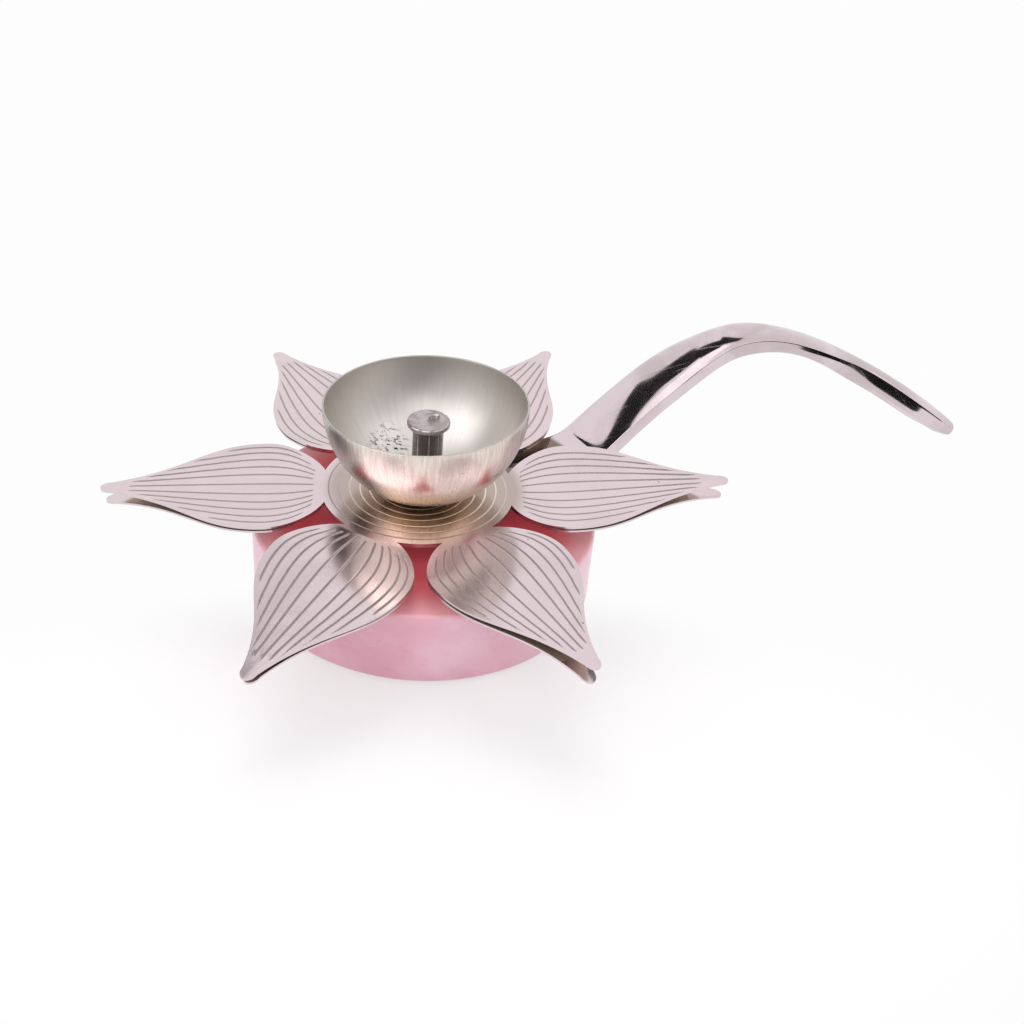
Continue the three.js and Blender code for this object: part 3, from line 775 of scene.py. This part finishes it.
def makePad():
    p = pad
    top, flat = heights["padTop"], p["radius"] - p["edge"]
    profile = [(0, 0), (flat, 0), (p["radius"], p["sideFrom"]), (p["radius"], p["sideTo"]), (flat, top),
               (0, top)]
    bm = spinProfile(profile, p["steps"])
    finishPiece(bm, "feltPad", "base", [darkFelt], ("felt_pad",))


makeBlock()
makePad()

bowl = {"radius": 24.4, "wall": 0.5, "foot": 5.0, "lean": 2.7, "leanStart": 5.3, "heading": 134.0,
        "steps": 192, "rings": 28, "rimRounding": 0.15,
        # faces that look towards this height over the rim, by more than the least, are the inside
        "inwardHeight": 4.0, "inwardLeast": 0.3}


def bowlSide(radius, footHeight):
    start = math.asin(bowl["foot"] / radius)
    depth = (heights["bowlRim"] - footHeight) / math.cos(start)
    sides = arcProfile(0, 0, 1, math.degrees(start) - 90, 0, bowl["rings"])
    return [(across * radius, heights["bowlRim"] + up * depth) for across, up in sides]


def makeBowl():
    b = bowl
    outer = bowlSide(b["radius"], heights["discTop"])
    inner = bowlSide(b["radius"] - b["wall"], heights["bowlFloor"])
    profile = [(boltHole, heights["discTop"])] + outer + inner[::-1] + [(boltHole, heights["bowlFloor"])]
    bm = spinProfile(profile, b["steps"], True)
    bmesh.ops.recalc_face_normals(bm, faces=bm.faces)
    middle = place(0, 0, heights["bowlRim"] + b["inwardHeight"])
    for face in bm.faces:
        inwards = face.normal.dot(middle - face.calc_center_median())
        face.material_index = 1 if inwards > b["inwardLeast"] * mm else 0
    rim = [e for e in edgesAt(bm, heights["bowlRim"])
           if abs(reachOf(e.verts[0]) - reachOf(e.verts[1])) < tolerance]
    bevelEdges(bm, rim, b["rimRounding"], 3)
    heading = math.radians(b["heading"])
    hinge = Vector((-math.sin(heading), math.cos(heading), 0))
    above = [v for v in bm.verts if reachOf(v) > b["leanStart"]]
    bmesh.ops.rotate(bm, verts=above, cent=place(0, 0, heights["bowlFloor"]),
                     matrix=turning(b["lean"], hinge))
    finishPiece(bm, "oilBowl", "bowl", [bowlOutside, bowlInside], ("oil_bowl",), 50)


makeBowl()

wick = {
    "bottom": 27.9, "top": 46.2, "post": 3.65, "flange": 5.1, "flangeThickness": 1.5, "footEdge": 0.2,
    # corners outwards from the post or the flange, and upwards from the flange's underside or top
    "collar": ((0.0, -0.5), (0.25, -0.1)), "flangeUnder": ((-0.3, 0.05), (0.0, 0.4)),
    "flangeTop": ((0.0, -0.4), (-0.12, -0.12), (-0.4, 0.0)),
    # the top's rings: radius, drop, and share of the hole's offset
    "holeRings": ((3.4, 0.06, 0), (1.45, 0.0, 1), (1.1, 0.3, 1), (1.1, 9.0, 1)),
    "holeOffset": (1.3, 1.5), "socketDepth": 8.3, "steps": 96,
    # the flange's rim was turned and dropped often
    "wornFrom": 4.25, "wornDepth": 0.12, "wornSize": 1400, "wornInwards": 0.6, "wornUpwards": 0.4,
}


def makeWickHolder():
    w = wick
    under = w["top"] - w["flangeThickness"]
    profile = [(boltHole, w["bottom"]), (w["post"] - w["footEdge"], w["bottom"]),
               (w["post"], w["bottom"] + w["footEdge"])]
    for radius, height, corners in ((w["post"], under, w["collar"]), (w["flange"], under, w["flangeUnder"]),
                                    (w["flange"], w["top"], w["flangeTop"])):
        profile += [(radius + out, height + up) for out, up in corners]
    bm = spinProfile(profile, w["steps"])
    edges = [e for e in edgesAt(bm, w["top"]) if e.is_boundary]
    last, centre = profile[-1][0], Vector()
    for radius, drop, share in w["holeRings"]:
        corners, edges = growRow(bm, edges)
        bmesh.ops.scale(bm, verts=corners, vec=(radius / last, radius / last, 1),
                        space=Matrix.Translation(-centre))
        spot = place(*w["holeOffset"], 0) * share
        bmesh.ops.translate(bm, verts=corners, vec=spot - centre)
        for vert in corners:
            vert.co.z = (w["top"] - drop) * mm
        last, centre = radius, spot
    bmesh.ops.edgeloop_fill(bm, edges=edges)
    corners, edges = growRow(bm, [e for e in bm.edges if e.is_boundary])
    for vert in corners:
        vert.co.z = (w["bottom"] + w["socketDepth"]) * mm
    bmesh.ops.edgeloop_fill(bm, edges=edges)
    for vert in bm.verts:
        if reachOf(vert) > w["wornFrom"]:
            worn = noise.noise(vert.co * w["wornSize"]) * w["wornDepth"] * mm
            outwards = Vector((vert.co.x, vert.co.y, 0)).normalized()
            vert.co += outwards * (worn - abs(worn) * w["wornInwards"])
            vert.co.z += worn * w["wornUpwards"]
    finishPiece(bm, "wickHolder", "wick_holder", [wickSilver], ("wick_holder",), 50)


makeWickHolder()

handle = {
    "angle": 31.7, "bend": 26.0, "tangLength": 46.0, "tangStations": (9, 16, 24, 32, 38, 42),
    "tangRidgeDrop": 0.6, "crest": (93.9, 20.4), "rise": (2.2, 17.0), "fall": (21.8, 14.0),
    "endSlope": 42.5, "reach": 166.3, "endHeight": -17.9,
    "crown": 1.45, "crownStart": 44.0, "crownLength": 24.0,
    "curveSteps": 200, "stations": 46, "tangentStep": 0.004, "smoothLevels": 3,
    # share of the way, width, depth
    "sections": ((0.0, 15.6, 4.3), (0.2, 15.5, 3.9), (0.38, 11.3, 4.2), (0.56, 9.1, 3.2),
                 (0.74, 5.0, 5.0), (0.88, 5.8, 5.1), (0.96, 4.8, 3.9), (1.0, 3.2, 2.0)),
    # the ridge hammered along the front side: share of the way, how far it stands out
    "ridge": ((0.0, 0.0), (0.4, 0.1), (0.5, 0.45), (0.6, 0.75), (0.7, 0.95), (0.78, 1.5), (0.9, 1.7),
              (1.0, 0.6)),
    # and the share of the depth at which it runs
    "ridgeDrop": ((0.0, 0.6), (0.56, 0.55), (0.64, 0.34), (0.7, 0.4), (0.76, 0.6), (0.86, 0.72),
                  (1.0, 0.72)),
    # share of the half width, of the depth inwards, of the depth down, of the crown, and of the ridge
    "outline": ((1, 0, 0.85, 0, 0), (1, 0.15, 1, 0, 0), (-1, -0.25, 1, 0, 0), (-1, 0, 0.75, 0, 0),
                (-1, 0, 0.2, 0, 0), (-1, -0.12, 0, 0, 0), (-0.55, 0, 0, 0.94, 0), (0, 0, 0, 0.96, 0),
                (0.5, 0, 0, 0.68, 0), (0.78, 0, 0, 0.42, 0), (1, 0, 0, 0, 0), (1, 0, 0, 0, 1)),
    "creases": {0: 0.75, 1: 0.4, 5: 0.5, 10: 1.0, 11: 0.3},
}


def handleElevation():
    h = handle
    root = Vector((h["tangLength"], heights["tangTop"] - heights["discTop"]))
    crest = Vector(h["crest"])
    end = Vector((h["reach"], h["endHeight"]))
    slope = math.radians(h["endSlope"])
    back = Vector((-math.cos(slope), math.sin(slope))) * h["fall"][1]
    rise = geometry.interpolate_bezier(root, root + Vector((h["rise"][0], 0)),
                                       crest - Vector((h["rise"][1], 0)), crest, h["curveSteps"])
    fall = geometry.interpolate_bezier(crest, crest + Vector((h["fall"][0], 0)), end + back, end,
                                       h["curveSteps"])
    return rise + fall[1:]


elevation = handleElevation()
lengths = [0.0]
for before, after in zip(elevation, elevation[1:]):
    lengths.append(lengths[-1] + (after - before).length)


def handlePlace(share):
    h = handle
    target = min(max(share, 0.0), 1.0) * lengths[-1]
    index = max(i for i, value in enumerate(lengths[:-1]) if value <= target)
    part = (target - lengths[index]) / (lengths[index + 1] - lengths[index])
    distance, height = elevation[index].lerp(elevation[index + 1], part)
    turn = math.radians(h["bend"]) / (h["reach"] - h["tangLength"])
    first = math.radians(h["angle"])
    heading = first - turn * (distance - h["tangLength"])
    x = h["tangLength"] * math.cos(first) + (math.sin(first) - math.sin(heading)) / turn
    y = h["tangLength"] * math.sin(first) + (math.cos(heading) - math.cos(first)) / turn
    return Vector((x, y, heights["discTop"] + height)), heading, distance


def crownAt(distance):
    return handle["crown"] * fade((distance - handle["crownStart"]) / handle["crownLength"])


def sectionAt(distance):
    h = handle
    along = (distance - h["tangLength"]) / (h["reach"] - h["tangLength"])
    for before, after in zip(h["sections"], h["sections"][1:]):
        if along <= after[0]:
            break
    mix = fade((along - before[0]) / (after[0] - before[0]))
    width, depth = (a + (b - a) * mix for a, b in zip(before[1:], after[1:]))
    return width, depth, crownAt(distance), tableValue(h["ridge"], along), tableValue(h["ridgeDrop"], along)


def addSection(bm, spot, heading, tangent, size):
    width, depth, crown, ridge, drop = size
    front = Vector((math.sin(heading), -math.cos(heading), 0))
    up = front.cross(tangent).normalized()
    if up.z < 0:
        up.negate()
    verts = []
    for across, inwards, down, crowned, ridged in handle["outline"]:
        out = width / 2 * across - depth * inwards + ridge * ridged
        rise = crown * crowned - depth * (down + drop * ridged)
        verts.append(bm.verts.new((spot + front * out + up * rise) * mm))
    return verts, [bm.edges.new(pair) for pair in zip(verts, verts[1:] + verts[:1])]


def makeHandle():
    h = handle
    bm = bmesh.new()
    crease = bm.edges.layers.float.new("crease_edge")
    sections = []
    first = math.radians(h["angle"])
    along = Vector((math.cos(first), math.sin(first), 0))
    width, depth = h["sections"][0][1], heights["tangTop"] - heights["blockTop"]
    for distance in h["tangStations"]:
        spot = along * distance + Vector((0, 0, heights["tangTop"]))
        flat = (width, depth, crownAt(distance), 0, h["tangRidgeDrop"])
        sections.append(addSection(bm, spot, first, along, flat))
    for i in range(h["stations"] + 1):
        share = i / h["stations"]
        spot, heading, distance = handlePlace(share)
        before, after = (handlePlace(share + step)[0] for step in (-h["tangentStep"], h["tangentStep"]))
        sections.append(addSection(bm, spot, heading, (after - before).normalized(), sectionAt(distance)))
    for (fromVerts, fromEdges), (toVerts, toEdges) in zip(sections, sections[1:]):
        bmesh.ops.bridge_loops(bm, edges=fromEdges + toEdges)
        for number, weight in h["creases"].items():
            edge = bm.edges.get((fromVerts[number], toVerts[number]))
            if edge:
                edge[crease] = weight
    for end in (sections[0][1], sections[-1][1]):
        bmesh.ops.contextual_create(bm, geom=end)
    piece = finishPiece(bm, "handleBar", "base", [handleSilver], ("handle",), 180)
    smooth = piece.modifiers.new("smooth", "SUBSURF")
    smooth.levels = smooth.render_levels = h["smoothLevels"]


eye = {"radius": 15.0, "rounding": 0.4, "steps": 96}


def makeEye():
    bottom, top, radius = heights["blockTop"], heights["eyeTop"], eye["radius"]
    bm = spinProfile([(boltHole, bottom), (radius, bottom), (radius, top), (boltHole, top)],
                     eye["steps"], True)
    bmesh.ops.recalc_face_normals(bm, faces=bm.faces)
    bevelSharp(bm, eye["rounding"], 3)
    finishPiece(bm, "handleEye", "base", [handleSilver])


makeHandle()
makeEye()

for name in ("centre_bolt", "flat_washer", "spring_washer", "tang_screw_1", "tang_screw_2", "seal_washer"):
    slots = nodes[name].data.materials
    slots.clear()
    slots.append(blackRubber if name == "seal_washer" else fastenerSteel)

# Lengths in the studio are metres, and angles degrees
studio = {
    "aimHeight": 0.03, "worldLevel": 0.5, "floorSize": 4.0, "floorRough": 0.9,
    "floorColour": (0.80, 0.79, 0.80), "floorSeen": (0.42, 0.41, 0.42), "floorMottle": 1.01,
    "mottleNoise": (3.0, 2.0), "floorGlow": 0.56, "plainGlow": 0.985, "plainEdge": (0.75, 1.3),
    "shadowPlace": (0.0, -0.082, 0.0), "shadowReach": (0.12, 0.065, 1.0),
    "sunPower": 1.1, "sunSoftness": 40.0, "sunTilt": 30.0, "sunHeading": 8.0,
    "lampDistance": 0.9, "lampSize": 0.7, "cardDistance": 1.0, "cardNoise": 4.0, "cardMottle": 1.3,
}
# Big soft boxes: name, heading, rise, power
lamps = (
    ("boxLeft", 202, 42, 1.9),
    ("boxFront", 262, 48, 1.1),
    ("boxRight", -15, 38, 1.1),
)
# Cards seen only in reflections, darker or brighter than the room: name, heading, rise, width, height, tone
cards = (
    ("cardLeft", 159, 18, 0.69, 0.73, 0.006),
    ("cardFront", 270, 13, 1.15, 0.54, 0.2),
    ("cardSide", 335, 15, 0.85, 0.8, 0.01),
    ("stripLeft", 150, 56, 0.5, 0.27, 0.02),
    ("stripBack", 118, 58.5, 0.3, 0.22, 0.02),
    ("stripTop", 92, 61, 0.2, 0.22, 0.02),
    ("stripCrest", 69, 57, 0.3, 0.2, 0.02),
    ("stripBright", 135, 79, 0.8, 0.34, 1.22),
)


# Where a lamp or card stands, and how it turns to face the part
def aimedAt(heading, rise, distance):
    heading, rise = math.radians(heading), math.radians(rise)
    away = Vector((math.cos(heading) * math.cos(rise), math.sin(heading) * math.cos(rise), math.sin(rise)))
    spot = away * distance + Vector((0, 0, studio["aimHeight"]))
    return spot, away.to_track_quat("Z", "Y").to_matrix()


def addObject(name, data):
    item = bpy.data.objects.new(name, data)
    scene.collection.objects.link(item)
    return item


def seenByEye(tree):
    path = addNode(tree, "ShaderNodeLightPath")
    seen = mathNode(tree, "MAXIMUM", path.outputs["Is Camera Ray"], path.outputs["Is Glossy Ray"])
    return mathNode(tree, "MAXIMUM", seen, path.outputs["Is Transmission Ray"])


def makeWorld():
    world = bpy.data.worlds.new("paleRoom")
    world.use_nodes = True
    tree = world.node_tree
    level = rangeNode(tree, seenByEye(tree), 0, 1, studio["worldLevel"], 1.0)
    feed(tree, tree.nodes["Background"], {"Color": (1, 1, 1, 1), "Strength": level})
    scene.world = world


# The floor shows the part's shadow near it, and fades to an even white further out
def makeFloor():
    s = studio
    material, tree, shader, where = newMaterial("paleFloor", {"Roughness": s["floorRough"],
                                                              "Specular IOR Level": 0.0,
                                                              "Emission Color": (1, 1, 1, 1)})
    mottle = noiseNode(tree, where, *s["mottleNoise"])
    shade = mixColours(tree, mottle, s["floorColour"], toned(s["floorColour"], s["floorMottle"]))
    near = addNode(tree, "ShaderNodeMapping", {"Vector": where, "Location": s["shadowPlace"],
                                               "Scale": s["shadowReach"]}, {"vector_type": "TEXTURE"})
    reach = vectorNode(tree, "LENGTH", near.outputs[0])["Value"]
    seen = seenByEye(tree)
    shade = mixColours(tree, seen, shade, s["floorSeen"])
    plain = timesNode(tree, seen, stepNode(tree, reach, s["plainEdge"]))
    glow = rangeNode(tree, plain, 0, 1, s["floorGlow"], s["plainGlow"])
    feed(tree, shader, {"Base Color": mixColours(tree, plain, shade, (0.0, 0.0, 0.0)),
                        "Emission Strength": timesNode(tree, seen, glow)})
    bm = bmesh.new()
    bmesh.ops.create_circle(bm, cap_ends=True, segments=96, radius=s["floorSize"])
    meshObject(bm, "floor", [material])


def makeLamps():
    s = studio
    sun = addObject("softSun", bpy.data.lights.new("softSun", "SUN"))
    sun.data.energy = s["sunPower"]
    sun.data.angle = math.radians(s["sunSoftness"])
    sun.rotation_euler = (math.radians(-s["sunTilt"]), 0, math.radians(s["sunHeading"]))
    sun.visible_glossy = False
    for name, heading, rise, power in lamps:
        box = addObject(name, bpy.data.lights.new(name, "AREA"))
        box.data.size = s["lampSize"]
        box.data.energy = power
        spot, aim = aimedAt(heading, rise, s["lampDistance"])
        box.matrix_world = Matrix.Translation(spot) @ aim.to_4x4()
        box.visible_camera = False


def makeCard(name, heading, rise, width, height, tone):
    s = studio
    material, tree, shader, where = newMaterial(name, {"Specular IOR Level": 0.0, "Roughness": 1.0,
                                                       "Base Color": (0, 0, 0, 1), "Emission Strength": 1.0})
    colour = (tone,) * 3
    shade = mixColours(tree, noiseNode(tree, where, s["cardNoise"]), colour, toned(colour, s["cardMottle"]))
    feed(tree, shader, {"Emission Color": shade})
    spot, aim = aimedAt(heading, rise, s["cardDistance"])
    bm = bmesh.new()
    bmesh.ops.create_grid(bm, x_segments=1, y_segments=1, size=0.5)
    bmesh.ops.scale(bm, verts=bm.verts, vec=(width, height, 1))
    bmesh.ops.rotate(bm, verts=bm.verts, cent=(0, 0, 0), matrix=aim)
    bmesh.ops.translate(bm, verts=bm.verts, vec=spot)
    sheet = meshObject(bm, name, [material])
    sheet.visible_camera = sheet.visible_diffuse = sheet.visible_shadow = False


camera = {"place": (-16.3, -346.9, 260.2), "turn": -6.2, "tilt": 34.5, "roll": 4.6, "lens": 60.75,
          "clip": (10.0, 20000.0)}


def makeCamera():
    c = camera
    item = addObject("camera", bpy.data.cameras.new("camera"))
    item.data.lens = c["lens"]
    item.data.clip_start, item.data.clip_end = (distance * mm for distance in c["clip"])
    aim = turning(c["turn"], "Z") @ turning(90 - c["tilt"], "X") @ turning(c["roll"], "Z")
    item.matrix_world = Matrix.Translation(place(*c["place"])) @ aim.to_4x4()
    scene.camera = item


makeWorld()
makeFloor()
makeLamps()
for card in cards:
    makeCard(*card)
makeCamera()
scene.view_settings.view_transform = "Standard"
print("studio ready")
